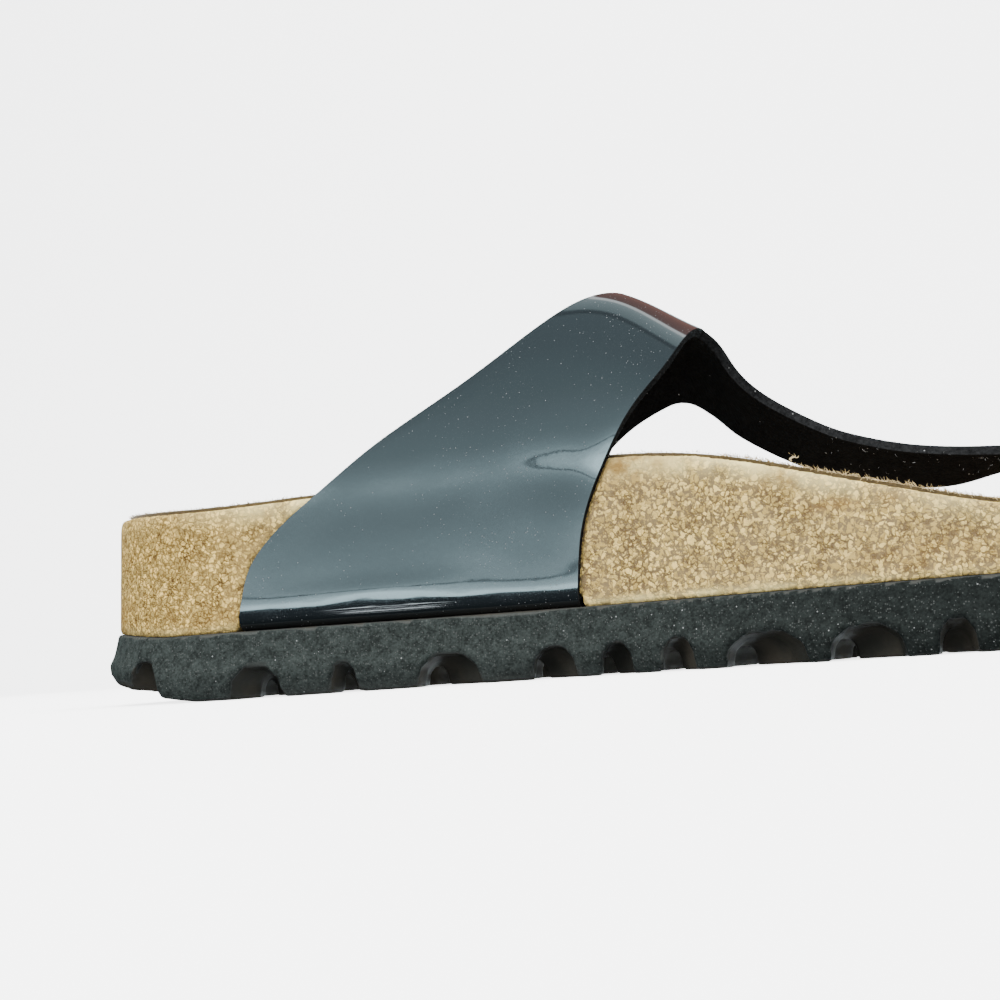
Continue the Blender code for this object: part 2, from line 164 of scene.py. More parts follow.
def solid_mesh(node):
    """The node's solid with its seams welded."""
    made = bmesh.new()
    made.from_mesh(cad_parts[node].data)
    bmesh.ops.remove_doubles(made, verts=made.verts, dist=WELD * MM)
    return made


def quad_mesh(node):
    """The node's solid with its triangles joined back into quads."""
    made = solid_mesh(node)
    bmesh.ops.join_triangles(made, faces=made.faces, angle_face_threshold=math.radians(JOIN_BEND),
                             angle_shape_threshold=math.radians(JOIN_SKEW), cmp_seam=False)
    return made


def link_mesh(name, made):
    mesh = bpy.data.meshes.new(name)
    made.to_mesh(mesh)
    made.free()
    piece = bpy.data.objects.new(name, mesh)
    bpy.context.scene.collection.objects.link(piece)
    return piece


def apply_modifiers(piece):
    """Replace the mesh by what its modifiers make of it."""
    graph = bpy.context.evaluated_depsgraph_get()
    graph.update()
    mesh = bpy.data.meshes.new_from_object(piece.evaluated_get(graph))
    piece.modifiers.clear()
    piece.data = mesh


def remeshed(name, node, rounds):
    """Fine even mesh over a solid, with its corners softened."""
    piece = link_mesh(name, solid_mesh(node))
    grid = piece.modifiers.new("grid", "REMESH")
    grid.mode = "VOXEL"
    grid.voxel_size = sizes().voxel
    wrap = piece.modifiers.new("wrap", "SHRINKWRAP")
    wrap.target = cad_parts[node]
    soften = piece.modifiers.new("soften", "SMOOTH")
    soften.factor = SOFTEN
    soften.iterations = rounds
    apply_modifiers(piece)
    piece.data.shade_smooth()
    return piece


def coordinates(mesh):
    values = np.empty(len(mesh.vertices) * 3)
    mesh.vertices.foreach_get("co", values)
    return values.reshape(-1, 3)


def normals(mesh):
    values = np.empty(len(mesh.vertices) * 3)
    mesh.vertex_normals.foreach_get("vector", values)
    return values.reshape(-1, 3)


def set_coordinates(mesh, values):
    mesh.vertices.foreach_set("co", values.ravel())
    mesh.update()


def add_mask(mesh, name, values):
    layer = mesh.attributes.new(name, "FLOAT", "POINT")
    layer.data.foreach_set("value", np.asarray(values, float))


def finish_piece(piece, node, slot, *materials):
    for material in materials:
        piece.data.materials.append(material)
    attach(piece, BODY)
    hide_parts(node)


def ease(low, high, values):
    t = np.clip((values - low) / (high - low), 0.0, 1.0)
    return t * t * (3 - 2 * t)


# Nodes

Cloud = namedtuple("Cloud", "scale detail low high least most rough", defaults=(0.0, 1.0, 0.55))
Specks = namedtuple("Specks", "scale size")
Wander = namedtuple("Wander", "scale detail reach")
NOISE_MIDDLE = 0.5


class Graph:
    """Short way to add and join nodes in one tree."""

    def __init__(self, tree):
        self.tree = tree

    def add(self, kind, inputs=None, **settings):
        node = self.tree.nodes.new(kind)
        for key, value in settings.items():
            setattr(node, key, value)
        for key, value in (inputs or {}).items():
            self.feed(node.inputs[key], value)
        return node

    def feed(self, socket, value):
        if isinstance(value, bpy.types.NodeSocket):
            self.tree.links.new(value, socket)
        elif isinstance(value, bpy.types.Node):
            self.tree.links.new(value.outputs[0], socket)
        else:
            socket.default_value = value

    def math(self, operation, first, second=0.5):
        return self.add("ShaderNodeMath", {0: first, 1: second}, operation=operation).outputs[0]

    def times(self, first, second):
        return self.math("MULTIPLY", first, second)

    def mix(self, share, first, second):
        node = self.add("ShaderNodeMix", data_type="RGBA")
        self.feed(node.inputs[0], share)
        self.feed(node.inputs[6], first)
        self.feed(node.inputs[7], second)
        return node.outputs[2]

    def fit(self, value, low, high, to_low=0.0, to_high=1.0):
        node = self.add("ShaderNodeMapRange", {0: value, 1: low, 2: high, 3: to_low, 4: to_high},
                        interpolation_type="SMOOTHSTEP")
        return node.outputs[0]

    def noise(self, where, scale, detail=3.0, rough=0.55):
        return self.add("ShaderNodeTexNoise", {"Vector": where, "Scale": scale, "Detail": detail,
                                              "Roughness": rough}).outputs[0]

    def cloud(self, where, kind):
        """Noise fitted to the range of this kind of cloud."""
        return self.fit(self.noise(where, kind.scale, kind.detail, kind.rough),
                        kind.low, kind.high, kind.least, kind.most)

    def wander(self, where, kind):
        """Noise that swings to both sides of zero."""
        swing = self.math("SUBTRACT", self.noise(where, kind.scale, kind.detail), NOISE_MIDDLE)
        return self.times(swing, kind.reach)

    def axis(self, where, number):
        return self.add("ShaderNodeSeparateXYZ", {0: where}).outputs[number]

    def vector_math(self, operation, first, second):
        node = self.add("ShaderNodeVectorMath", operation=operation)
        self.feed(node.inputs[0], first)
        self.feed(node.inputs["Scale" if operation == "SCALE" else 1], second)
        return node.outputs[0]


def rgba(colour):
    return (*colour, 1.0)


def new_group(name, inputs, outputs):
    """Node group with named sockets; returns its tree, its graph, its inputs and its output node."""
    tree = bpy.data.node_groups.new(name, "ShaderNodeTree")
    for socket, kind, default in inputs:
        made = tree.interface.new_socket(socket, in_out="INPUT", socket_type=kind)
        if default is not None:
            made.default_value = default
    for socket, kind in outputs:
        tree.interface.new_socket(socket, in_out="OUTPUT", socket_type=kind)
    graph = Graph(tree)
    start = graph.add("NodeGroupInput")
    end = graph.add("NodeGroupOutput")
    return tree, graph, start.outputs, end.inputs


def group_once(name, build):
    return bpy.data.node_groups.get(name) or build(name)


SPECK_LEAST = 0.5


def speck_group(name):
    """Small scattered specks, such as dust, lint or foam grit."""
    tree, graph, given, out = new_group(
        name,
        [("Vector", "NodeSocketVector", None), ("Scale", "NodeSocketFloat", 500.0),
         ("Amount", "NodeSocketFloat", 0.1), ("Size", "NodeSocketFloat", 0.2)],
        [("Mask", "NodeSocketFloat")])
    cells = graph.add("ShaderNodeTexVoronoi", {"Vector": given["Vector"], "Scale": given["Scale"]})
    chance = graph.add("ShaderNodeSeparateColor", {0: cells.outputs["Color"]}).outputs
    chosen = graph.math("LESS_THAN", chance[0], given["Amount"])
    size = graph.times(given["Size"], graph.math("ADD", chance[1], SPECK_LEAST))
    near = graph.math("LESS_THAN", cells.outputs["Distance"], size)
    graph.feed(out["Mask"], graph.times(chosen, near))
    return tree


FINE_DETAIL = 4.0
FINE_ROUGH = 0.65
COARSE_DETAIL = 2.0
COARSE_SCALE = 0.28
COARSE_SHARE = 0.6


def grain_group(name):
    """Fine irregular grain at two scales, as a height."""
    tree, graph, given, out = new_group(
        name,
        [("Vector", "NodeSocketVector", None), ("Scale", "NodeSocketFloat", 900.0)],
        [("Height", "NodeSocketFloat")])
    fine = graph.noise(given["Vector"], given["Scale"], FINE_DETAIL, FINE_ROUGH)
    coarse = graph.noise(given["Vector"], graph.times(given["Scale"], COARSE_SCALE), COARSE_DETAIL)
    graph.feed(out["Height"], graph.math("ADD", fine, graph.times(coarse, COARSE_SHARE)))
    return tree


DRIFT_NOISE = {"Scale": 620.0, "Detail": 3.0}
DRIFT = 0.0026
RAGGED_NOISE = (2600.0, 2.0)
RAGGED = 0.30
GRANULE_SPREAD = 0.22
GRANULE_EDGE = (0.60, 0.44)
CRACK_EDGE = (0.15, 0.02)


def granule_group(name):
    """Pressed granules in a binder: where each granule lies, its tone and the cracks around it."""
    tree, graph, given, out = new_group(
        name,
        [("Vector", "NodeSocketVector", None), ("Scale", "NodeSocketFloat", 520.0)],
        [("Granule", "NodeSocketFloat"), ("Tone", "NodeSocketFloat"), ("Crack", "NodeSocketFloat")])
    drift = graph.add("ShaderNodeTexNoise", {"Vector": given["Vector"], **DRIFT_NOISE})
    shift = graph.vector_math("SUBTRACT", drift.outputs["Color"], (NOISE_MIDDLE,) * 3)
    where = graph.vector_math("ADD", given["Vector"], graph.vector_math("SCALE", shift, DRIFT))
    spread = {"Vector": where, "Scale": given["Scale"]}
    cells = graph.add("ShaderNodeTexVoronoi", spread)
    edges = graph.add("ShaderNodeTexVoronoi", spread, feature="DISTANCE_TO_EDGE")
    chance = graph.add("ShaderNodeSeparateColor", {0: cells.outputs["Color"]}).outputs
    ragged = graph.times(graph.noise(given["Vector"], *RAGGED_NOISE), RAGGED)
    reach = graph.math("SUBTRACT", graph.math("ADD", cells.outputs["Distance"], ragged),
                       graph.times(chance[0], GRANULE_SPREAD))
    graph.feed(out["Granule"], graph.fit(reach, *GRANULE_EDGE))
    graph.feed(out["Tone"], chance[1])
    graph.feed(out["Crack"], graph.fit(edges.outputs["Distance"], *CRACK_EDGE))
    return tree


def plain_material(name, settings):
    """Material with the given settings; returned with its shader's inputs."""
    material = bpy.data.materials.new(name)
    material.use_nodes = True
    shader = material.node_tree.nodes["Principled BSDF"].inputs
    for key, value in settings.items():
        shader[key].default_value = value
    return material, shader


def new_material(name, settings):
    """Material with its graph, its shader's inputs and the place on the object."""
    material, shader = plain_material(name, settings)
    graph = Graph(material.node_tree)
    where = graph.add("ShaderNodeTexCoord").outputs["Object"]
    return material, graph, shader, where


def place_group(graph, name, build, **inputs):
    node = graph.add("ShaderNodeGroup", node_tree=group_once(name, build))
    for key, value in inputs.items():
        graph.feed(node.inputs[key], value)
    return node.outputs


def specks(graph, where, kind, amount):
    return place_group(graph, "Specks", speck_group, Vector=where, Scale=kind.scale, Amount=amount,
                       Size=kind.size)["Mask"]


def grain_height(graph, where, scale):
    return place_group(graph, "Grain", grain_group, Vector=where, Scale=scale)["Height"]


def granules_of(graph, where, scale):
    return place_group(graph, "Granules", granule_group, Vector=where, Scale=scale)


def painted(graph, name):
    """A mask painted on the piece's points."""
    return graph.add("ShaderNodeAttribute", attribute_name=name).outputs["Fac"]


def bump(graph, height, strength, distance):
    return graph.add("ShaderNodeBump", {"Height": height, "Strength": strength,
                                        "Distance": distance}).outputs[0]


def shades(colour, *shares):
    return [rgba([min(1.0, part * share) for part in colour]) for share in shares]


GRAIN_RANGE = (0.5, 1.1)
PATENT_GLOSS = {"Specular IOR Level": 0.3, "Coat Roughness": 0.03, "Coat IOR": 1.7}
PATENT_HAZE = Cloud(60.0, 4.0, 0.40, 0.75, 0.10, 0.20)
PATENT_DUST = Specks(1450.0, 0.11)
DUST_PATCHES = Cloud(55.0, 3.0, 0.36, 0.66, 0.15, 0.95)
DUST_SHARE = 0.22
DUST_ROUGH = 0.5
DUST_DULLS = 0.8
PATENT_GRAIN = (700.0, 2.0)
PATENT_RELIEF = (0.05, 0.0003)


def patent_material():
    """Black patent under a glassy coat, with a soft haze and scattered dust."""
    tint = colours()
    material, graph, shader, where = new_material("patent_finish", PATENT_GLOSS)
    dust = specks(graph, where, PATENT_DUST, graph.cloud(where, DUST_PATCHES))
    grey = graph.times(dust, DUST_SHARE)
    graph.feed(shader["Base Color"], graph.mix(grey, rgba(tint.patent), rgba(tint.dust)))
    haze = graph.cloud(where, PATENT_HAZE)
    graph.feed(shader["Roughness"], graph.math("ADD", haze, graph.times(dust, DUST_ROUGH)))
    graph.feed(shader["Coat Weight"], graph.math("SUBTRACT", 1.0, graph.times(dust, DUST_DULLS)))
    graph.feed(shader["Normal"], bump(graph, graph.noise(where, *PATENT_GRAIN), *PATENT_RELIEF))
    return material


FELT_MATTE = {"Roughness": 0.95, "Specular IOR Level": 0.08}
FELT_GRAIN = 1500.0
FELT_SHADES = (0.45, 1.8)
FELT_LINT = Specks(800.0, 0.16)
LINT_SHARE = 0.35
FELT_RELIEF = (0.7, 0.0006)


def felt_material(name, colour, lint):
    """Matte felt or raw fibre with lint caught in it."""
    material, graph, shader, where = new_material(name, FELT_MATTE)
    grain = grain_height(graph, where, FELT_GRAIN)
    caught = graph.times(specks(graph, where, FELT_LINT, lint), LINT_SHARE)
    shade = graph.mix(graph.fit(grain, *GRAIN_RANGE), *shades(colour, *FELT_SHADES))
    graph.feed(shader["Base Color"], graph.mix(caught, shade, rgba(colours().dust)))
    graph.feed(shader["Normal"], bump(graph, grain, *FELT_RELIEF))
    return material


CORK_MATTE = {"Specular IOR Level": 0.12}
HEEL_TONE = (-0.060, -0.105)
HEEL_TAN = 0.9
HEEL_COVER = 0.45
HEEL_CRACKED = 0.8
HEEL_SMOOTH = (1.0, 0.35)
CRUMB_SCALE = 1.9
CRUMB_COVER = (0.25, 0.75, 0.15, 0.8)
CRUMB_CRACK = 0.45
GRANULE_TONES = (0.15, 0.85)
GRANULE_COVER = (0.72, 1.0)
GRANULE_HEIGHT = 0.5
COVERED = Cloud(70.0, 3.0, 0.35, 0.65)
CRACKED = Cloud(230.0, 3.0, 0.38, 0.64)
CRACK_DEPTH = (0.6, 1.0)
SMOOTH_FADES = (0.015, 0.055, 1.0, 0.3)
SMOOTH_PATCHES = Cloud(120.0, 3.0, 0.34, 0.62, 0.25, 0.92)
BLOTS = Cloud(150.0, 4.0, 0.34, 0.62, rough=0.65)
CORK_ROUGH = (0.68, 0.95)
CORK_RELIEF = (0.5, 0.0005)


def cork_material():
    """Pressed cork: pale granules in a dull binder, cracks, a smoother rim and brown stains."""
    tint = colours()
    material, graph, shader, where = new_material("cork_finish", CORK_MATTE)
    granules = granules_of(graph, where, 1.0 / sizes().granule)
    crumbs = granules_of(graph, where, CRUMB_SCALE / sizes().granule)
    along = graph.axis(where, 0)
    heel = graph.fit(along, *HEEL_TONE)
    binder = graph.mix(heel, rgba(tint.binder), rgba(tint.binder_heel))
    palest = graph.mix(heel, rgba(tint.cork_pale), rgba(tint.cork_heel))
    usual = graph.mix(heel, rgba(tint.cork_tan), *shades(tint.cork_tan, HEEL_TAN))
    pale = graph.mix(graph.fit(granules["Tone"], *GRANULE_TONES), usual, palest)
    pressed = graph.times(crumbs["Granule"], graph.fit(crumbs["Tone"], *CRUMB_COVER))
    body = graph.mix(pressed, binder, rgba(tint.cork_tan))
    cover = graph.fit(graph.cloud(where, COVERED), 0.0, 1.0, *GRANULE_COVER)
    cover = graph.math("MAXIMUM", graph.times(granules["Granule"], cover), graph.times(heel, HEEL_COVER))
    body = graph.mix(cover, body, pale)
    crack = graph.math("MAXIMUM", granules["Crack"], graph.times(crumbs["Crack"], CRUMB_CRACK))
    patch = graph.math("MAXIMUM", graph.cloud(where, CRACKED), graph.times(heel, HEEL_CRACKED))
    open_crack = graph.times(graph.times(crack, patch), graph.fit(heel, 0.0, 1.0, *CRACK_DEPTH))
    body = graph.mix(open_crack, body, rgba(tint.cork_dark))
    smooth = graph.times(graph.fit(heel, 0.0, 1.0, *HEEL_SMOOTH), graph.fit(along, *SMOOTH_FADES))
    smooth = graph.times(smooth, graph.cloud(where, SMOOTH_PATCHES))
    body = graph.mix(graph.times(painted(graph, "rim"), smooth), body, rgba(tint.cork_rim))
    stain = graph.times(painted(graph, "stain"), graph.cloud(where, BLOTS))
    body = graph.mix(stain, body, rgba(tint.stain))
    graph.feed(shader["Base Color"], body)
    graph.feed(shader["Roughness"], graph.fit(open_crack, 0.0, 1.0, *CORK_ROUGH))
    height = graph.math("SUBTRACT", graph.times(granules["Granule"], GRANULE_HEIGHT), open_crack)
    graph.feed(shader["Normal"], bump(graph, height, *CORK_RELIEF))
    return material


SUEDE_NAP = {"Roughness": 0.95, "Specular IOR Level": 0.1, "Sheen Weight": 0.25, "Sheen Roughness": 0.5}
SUEDE_GRAIN = 1300.0
SUEDE_CLOUD = Cloud(38.0, 4.0, 0.3, 0.7)
SUEDE_SHADES = (0.6, 0.82, 1.12)
SUEDE_PITS = (1.1, 0.6)
SUEDE_RELIEF = (0.5, 0.0004)
# Span of x over which the fibres take the darker edge colour towards the heel.
EDGE_DARKENS = (-0.03, -0.08)


def suede_material(name, colour, heel_colour=None):
    """Napped suede with cloudy tone, which may change towards the heel."""
    material, graph, shader, where = new_material(name, SUEDE_NAP)
    grain = grain_height(graph, where, SUEDE_GRAIN)
    low, middle, high = shades(colour, *SUEDE_SHADES)
    nap = graph.mix(graph.cloud(where, SUEDE_CLOUD), middle, high)
    if heel_colour:
        nap = graph.mix(graph.fit(graph.axis(where, 0), *EDGE_DARKENS), nap, rgba(heel_colour))
    graph.feed(shader["Base Color"], graph.mix(graph.fit(grain, *SUEDE_PITS), nap, low))
    graph.feed(shader["Normal"], bump(graph, grain, *SUEDE_RELIEF))
    return material


FOAM_MATTE = {"Specular IOR Level": 0.06}
FOAM_GRAIN = 1900.0
# Shades of the foam: two for its grain, and two darker copies that paint shade towards the toe over the span
# of x below.
FOAM_SHADES = (0.5, 1.9, 0.28, 0.86)
FOAM_TOE_SHADE = (-0.04, 0.06)
FOAM_FLECKS = Specks(2300.0, 0.30)
FLECK_AMOUNT = 0.40
FLECK_SHARE = 0.5
FOAM_DUST = Specks(1100.0, 0.13)
FOAM_DUST_AMOUNT = 0.08
FOAM_DUST_SHARE = 0.35
TREAD_WORN = Cloud(90.0, 4.0, 0.4, 0.7)
WORN_SHARE = 0.6
# Strength of the painted highlight along the edge of the ground side.
GROUND_EDGE_HIGHLIGHT = 1.6
FOAM_ROUGH = (0.5, 0.9)
FOAM_HEIGHT = (0.15, 1.0)
FOAM_RELIEF = (0.6, 0.0005)


def foam_material():
    """Foam: grey and gritty where its side is ground, darker and smoother where it is moulded; a painted
    highlight runs along the edge between the two, and painted shade darkens it towards the toe.
    """
    tint = colours()
    material, graph, shader, where = new_material("foam_finish", FOAM_MATTE)
    ground = painted(graph, "ground")
    grit = grain_height(graph, where, FOAM_GRAIN)
    fleck = specks(graph, where, FOAM_FLECKS, FLECK_AMOUNT)
    dust = specks(graph, where, FOAM_DUST, FOAM_DUST_AMOUNT)
    # Painted shade: the side's colour blends to the darker copies towards the toe.
    low, high, shaded_low, shaded_high = shades(tint.foam, *FOAM_SHADES)
    toe_shade = graph.fit(graph.axis(where, 0), *FOAM_TOE_SHADE)
    side = graph.mix(graph.fit(grit, *GRAIN_RANGE),
                     graph.mix(toe_shade, low, shaded_low), graph.mix(toe_shade, high, shaded_high))
    side = graph.mix(graph.times(fleck, FLECK_SHARE), side, rgba(tint.grit))
    side = graph.mix(graph.times(dust, FOAM_DUST_SHARE), side, rgba(tint.dust))
    worn = graph.times(graph.cloud(where, TREAD_WORN), WORN_SHARE)
    skin = graph.mix(worn, rgba(tint.tread), rgba(tint.tread_worn))
    body = graph.mix(ground, skin, side)
    # Painted highlight: a lighter line in the grit colour where the ground side meets the moulded tread.
    edge_highlight = graph.times(ground, graph.math("SUBTRACT", 1.0, ground))
    body = graph.mix(graph.times(edge_highlight, GROUND_EDGE_HIGHLIGHT), body, rgba(tint.grit))
    graph.feed(shader["Base Color"], body)
    graph.feed(shader["Roughness"], graph.fit(ground, 0.0, 1.0, *FOAM_ROUGH))
    height = graph.times(grit, graph.fit(ground, 0.0, 1.0, *FOAM_HEIGHT))
    graph.feed(shader["Normal"], bump(graph, height, *FOAM_RELIEF))
    return material


def material_once(name, build, *values):
    return bpy.data.materials.get(name) or build(*values)


# Pieces

SOLE_ROUNDS = 2
SIDE_PROFILE = ((0.0, 1.3), (2.6, 2.5), (5.2, 2.7), (8.2, 1.5), (14.0, 0.3))
SIDE_FACING = 0.8
SIDE_PROBE = 30.0
GROUND_LEVEL = 11.0
GROUND_TOLERANCE = (0.6, 1.3)


class SANDAL_OT_outsole(bpy.types.Operator):
    """Sole with a ground side and a moulded tread"""

    bl_idname = "sandal.outsole"
    bl_label = "Outsole"

    def execute(self, context):
        piece = remeshed("sole_foam", "outsole", SOLE_ROUNDS)
        add_mask(piece.data, "ground", self.ground_mask(piece.data))
        finish_piece(piece, "outsole", "sole_foam", material_once("foam_finish", foam_material))
        return {"FINISHED"}

    def ground_mask(self, mesh):
        """How far each point lies on the smooth ground side and not in a scallop or underneath."""
        solid = BVHTree.FromBMesh(solid_mesh("outsole"))
        heights, outsets = zip(*SIDE_PROFILE)
        places = coordinates(mesh)
        facing = normals(mesh)
        mask = np.zeros(len(places))
        for index in np.flatnonzero(np.abs(facing[:, 2]) < SIDE_FACING):
            x, y, z = places[index]
            out = Vector((facing[index][0], facing[index][1], 0.0)).normalized()
            level = max(z, GROUND_LEVEL * MM)
            start = Vector((x, y, level)) + out * SIDE_PROBE * MM
            hit = solid.ray_cast(start, -out, 2 * SIDE_PROBE * MM)[0]
            if hit is None:
                continue
            wall = (hit - Vector((x, y, level))).dot(out) / MM
            flare = np.interp(z / MM, heights, outsets) - np.interp(level / MM, heights, outsets)
            mask[index] = 1 - ease(*GROUND_TOLERANCE, abs(wall + flare))
        return mask


Stain = namedtuple("Stain", "x z length height strength")
STAINS = (
    Stain(-1.7, 41.6, 9.0, 3.0, 0.9),
    Stain(12.0, 42.4, 9.0, 1.3, 0.55),
    Stain(30.5, 35.4, 6.0, 2.0, 0.85),
    Stain(44.0, 29.5, 12.0, 1.4, 0.55),
    Stain(55.0, 19.0, 10.0, 3.0, 0.30),
    Stain(-118.0, 20.0, 6.0, 4.0, 0.55),
    Stain(-112.0, 34.0, 9.0, 6.0, 0.25),
    Stain(-85.0, 17.5, 9.0, 2.0, 0.35),
    Stain(-48.0, 15.0, 27.0, 1.8, 1.0),
)
CORK_ROUNDS = 1
RIM_BIN = 3.0
RIM_BAND = (1.0, 6.0)
HEEL_STATIONS = (-60.0, -100.0)
HEEL_RIM_LOSS = 0.6
FOOT_BAND = (0.8, 2.2)
FOOT_SHARE = 0.7
SEAM = 0.03
SEAM_OPEN = 0.75
SEAM_REACH = 19.0
SEAM_PROBE = 1.0
LIP = 0.8
LIP_CLEAR = (0.35, 0.8)
LIP_FACING = (0.25, 0.7)
LIP_PROBE = 2.0


class SANDAL_OT_footbed(bpy.types.Operator):
    """Pressed cork body"""

    bl_idname = "sandal.footbed"
    bl_label = "Footbed"

    def execute(self, context):
        piece = remeshed("cork_bed", "footbed", CORK_ROUNDS)
        places = coordinates(piece.data) / MM
        self.raise_lip(piece.data, places)
        self.press_down(piece.data, places)
        add_mask(piece.data, "rim", self.rim_mask(places))
        add_mask(piece.data, "stain", self.stain_mask(places))
        finish_piece(piece, "footbed", "cork", material_once("cork_finish", cork_material))
        return {"FINISHED"}

    def press_down(self, mesh, places):
        """Close the seam between cork and sole."""
        solid = BVHTree.FromBMesh(solid_mesh("outsole"))
        for index in np.flatnonzero(places[:, 2] < SEAM_REACH):
            x, y, z = places[index] * MM
            hit = solid.ray_cast(Vector((x, y, z + SEAM_PROBE * MM)), Vector((0, 0, -1)))[0]
            if hit is not None and z - hit.z < SEAM_OPEN * MM:
                places[index, 2] = hit.z / MM + SEAM
        set_coordinates(mesh, places * MM)

    def raise_lip(self, mesh, places):
        """Cork that stands a little higher round the edge of the insole."""
        lining = BVHTree.FromBMesh(solid_mesh("insole"))
        facing = normals(mesh)[:, 2]
        for index in np.flatnonzero(facing > LIP_FACING[0]):
            spot = Vector(places[index] * MM)
            if lining.ray_cast(spot - Vector((0, 0, LIP_PROBE * MM)), Vector((0, 0, 1)))[0] is None:
                away = lining.find_nearest(spot)[3] / MM
                places[index, 2] += LIP * ease(*LIP_CLEAR, away) * ease(*LIP_FACING, facing[index])

    def rim_mask(self, places):
        """Smoother cork under the rim and just above the sole."""
        row = ((places[:, 0] - places[:, 0].min()) / RIM_BIN).astype(int) * 2 + (places[:, 1] > 0)
        top = np.full(row.max() + 1, -np.inf)
        foot = np.full(row.max() + 1, np.inf)
        np.maximum.at(top, row, places[:, 2])
        np.minimum.at(foot, row, places[:, 2])
        near_rim = 1 - ease(*RIM_BAND, top[row] - places[:, 2])
        near_foot = 1 - ease(*FOOT_BAND, places[:, 2] - foot[row])
        near_rim *= 1 - HEEL_RIM_LOSS * ease(*HEEL_STATIONS, places[:, 0])
        return np.maximum(near_rim, FOOT_SHARE * near_foot)

    def stain_mask(self, places):
        mask = np.zeros(len(places))
        for stain in STAINS:
            run = (places[:, 0] - stain.x) / stain.length
            rise = (places[:, 2] - stain.z) / stain.height
            mask = np.maximum(mask, stain.strength * np.exp(-(run ** 2 + rise ** 2)))
        return mask


TOP_FACING = 0.6
INSOLE_ANGLE = 55
INSOLE_CREASE = 0.45
RIM_ANGLE = 40
RIM_TOP_FACING = 0.2
RIM_SIDE_FACING = 0.3
RIM_UNDER_FACING = -0.6
FRINGE_SEED = 11
FRINGE_START = 0.018
FRINGE_SPARSE = 0.3
FRINGE_SET = 0.12
FIBRE_WIDTH = 0.16
FIBRE_SHORTEST = 0.25
FIBRE_SPARSE_LONGEST = 0.6
FIBRE_ALONG = 0.8
FIBRE_OUT = (0.3, 1.0)
FIBRE_UP = (-0.2, 0.9)
FIBRE_DROOP = (-1, 0.6)
FIBRE_BEND = 0.7
CURL_PLACE = Vector((0.0318, -0.0372, 0.0385))
CURL_TURNS = (0.0, 0.9, 1.9)
CURL_STEPS = 8
CURL_STEP = 0.34
CURL_WIDTH = 0.42
CURL_LEAN = 0.5
CURL_SPREAD = 0.6
CURL_WAVE = 0.9
CURL_SWING = 1.1
CURL_OUT = -0.25
CURL_RISE = 0.8


class SANDAL_OT_insole(bpy.types.Operator):
    """Suede insole and the raw fibres of its cut edge"""

    bl_idname = "sandal.insole"
    bl_label = "Insole"

    def execute(self, context):
        made = quad_mesh("insole")
        rim = self.rim_edges(made)
        for face in made.faces:
            face.material_index = int(abs(face.normal.z) < TOP_FACING)
        crease_sharp_edges(made, INSOLE_ANGLE, INSOLE_CREASE)
        piece = link_mesh("suede_insole", made)
        subdivide(piece, sizes().insole_levels)
        piece.data.shade_smooth()
        finish_piece(piece, "insole", "suede",
                     material_once("suede_finish", suede_material, "suede_finish", colours().suede),
                     material_once("edge_finish", suede_material, "edge_finish", colours().dark_edge))
        fringe = link_mesh("suede_fringe", strand_mesh(self.fringe(rim), FRINGE_SEED))
        finish_piece(fringe, "insole", "suede",
                     material_once("fibre_finish", suede_material, "fibre_finish", colours().fibre,
                                   colours().dark_edge))
        return {"FINISHED"}

    def rim_edges(self, made):
        """Upper outer edges of the insole, each with the way its side faces."""
        rim = []
        for edge in made.edges:
            if len(edge.link_faces) != 2 or edge.calc_face_angle() < math.radians(RIM_ANGLE):
                continue
            low, high = sorted(edge.link_faces, key=lambda face: face.normal.z)
            start, end = (vert.co.copy() for vert in edge.verts)
            out = Vector((low.normal.x, low.normal.y, 0.0))
            away = (start + end) / 2 - Vector((FRAME_MIDDLE[0], FRAME_MIDDLE[1], 0.0))
            upright = out.length > RIM_SIDE_FACING and low.normal.z > RIM_UNDER_FACING
            if high.normal.z > RIM_TOP_FACING and upright and out.dot(away) > 0:
                rim.append((start, end, out.normalized()))
        if not rim:
            raise RuntimeError("the insole's solid has no rim")
        return rim

    def fringe(self, rim):
        """Short fibres along the rim, thicker towards the toe, and one loose curl."""
        luck = random.Random(FRINGE_SEED)
        longest = sizes().fibre
        lengths = [(end - start).length for start, end, out in rim]
        strands = []
        for start, end, out in luck.choices(rim, weights=lengths, k=sizes().fibre_count):
            root = start.lerp(end, luck.random()) - (out + Vector((0, 0, 1))) * FRINGE_SET * MM
            sparse = root.x < FRINGE_START or root.y > 0
            if sparse and luck.random() > FRINGE_SPARSE:
                continue
            reach = longest * luck.uniform(FIBRE_SHORTEST, FIBRE_SPARSE_LONGEST if sparse else 1.0)
            along = (end - start).normalized() * luck.uniform(-FIBRE_ALONG, FIBRE_ALONG)
            first = out * luck.uniform(*FIBRE_OUT) + along
            first = (first + Vector((0, 0, luck.uniform(*FIBRE_UP)))).normalized()
            droop = Vector((luck.uniform(-1, 1), luck.uniform(-1, 1), luck.uniform(*FIBRE_DROOP)))
            second = (first + droop * FIBRE_BEND).normalized()
            bend = root + first * reach / 2
            strands.append(([root, bend, bend + second * reach / 2], FIBRE_WIDTH * MM))
        for turn in CURL_TURNS:
            points = [CURL_PLACE]
            for step in range(1, CURL_STEPS + 1):
                angle = CURL_LEAN + turn * CURL_SPREAD + math.sin(step * CURL_WAVE + turn) * CURL_SWING
                way = Vector((math.cos(angle), CURL_OUT, math.sin(angle) * CURL_RISE))
                points.append(points[-1] + way * CURL_STEP * MM)
            strands.append((points, CURL_WIDTH * MM))
        return strands


STRAND_TAPER = 0.75


def any_way(luck):
    return Vector([luck.uniform(-1, 1) for axis in range(3)])


